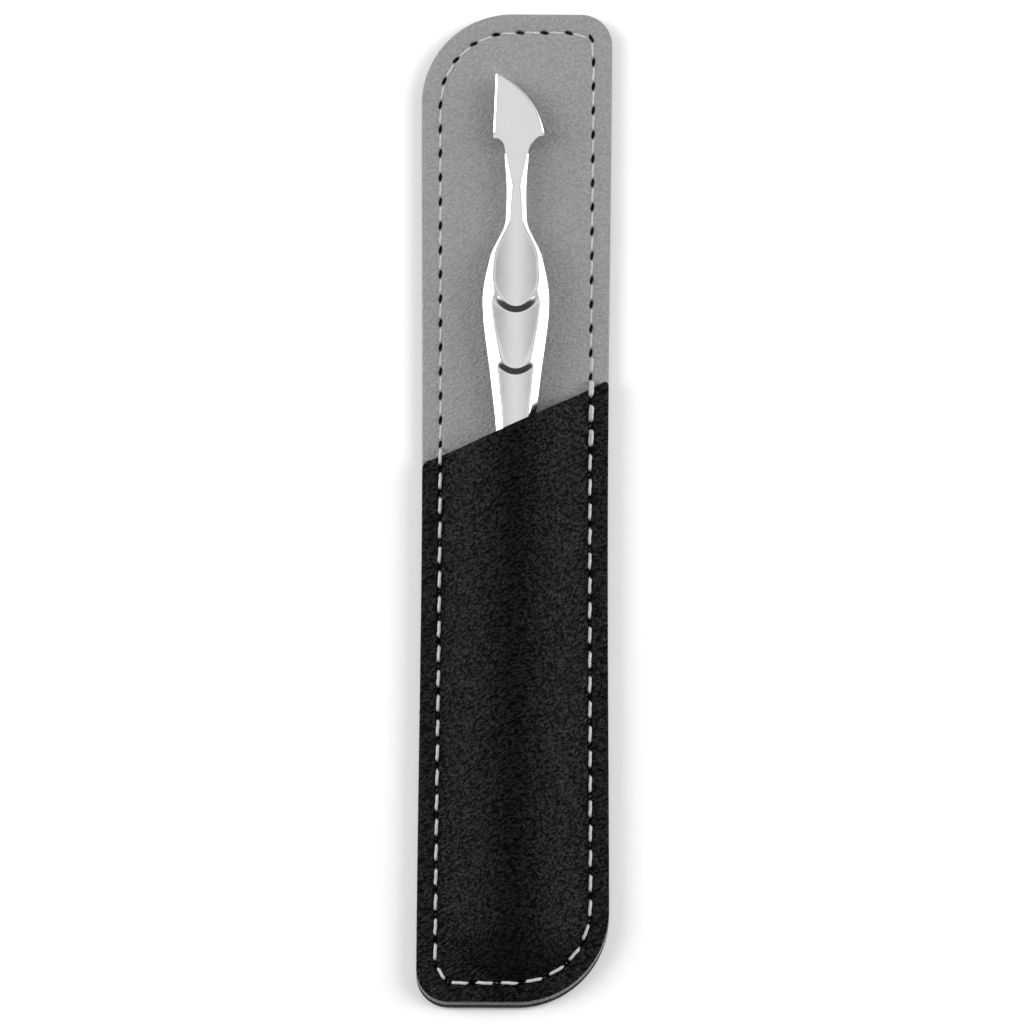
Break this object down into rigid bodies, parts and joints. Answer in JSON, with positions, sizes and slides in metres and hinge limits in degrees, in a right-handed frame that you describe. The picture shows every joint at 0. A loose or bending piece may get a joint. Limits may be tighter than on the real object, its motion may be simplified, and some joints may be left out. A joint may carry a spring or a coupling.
{
  "type": "cuticle pusher",
  "caption": "Double-ended steel cuticle tool with a hooked blade and a spoon pusher, lying in a stitched leather sleeve with a slanting pocket mouth.",
  "frame": {"origin": "on the surface the sleeve lies on, under the middle of its outline", "axes": "+Y along the sleeve towards the blade's tip, +Z out of the front of the sleeve, +X to the right seen from the front with the blade up"},
  "size_m": [0.0266, 0.1382, 0.0083],
  "materials": {
    "steel": "mirror-polished stainless steel with ground faces",
    "back_leather": "black pebbled synthetic leather",
    "grey_leather": "grey pebbled synthetic leather",
    "front_leather": "black pebbled synthetic leather",
    "thread": "light grey twisted thread"
  },
  "bodies": {
    "sleeve": {"back_cover": "back_leather", "inner_panel": "grey_leather", "front_pocket": "front_leather", "upper_thread": "thread", "lower_thread": "thread"},
    "pusher": {"pusher": "steel"}
  },
  "joints": [
    {"name": "pusher_slide", "type": "slide", "parent": "sleeve", "child": "pusher", "axis": [0, 1, 0], "range_m": [0, 0.13]}
  ]
}
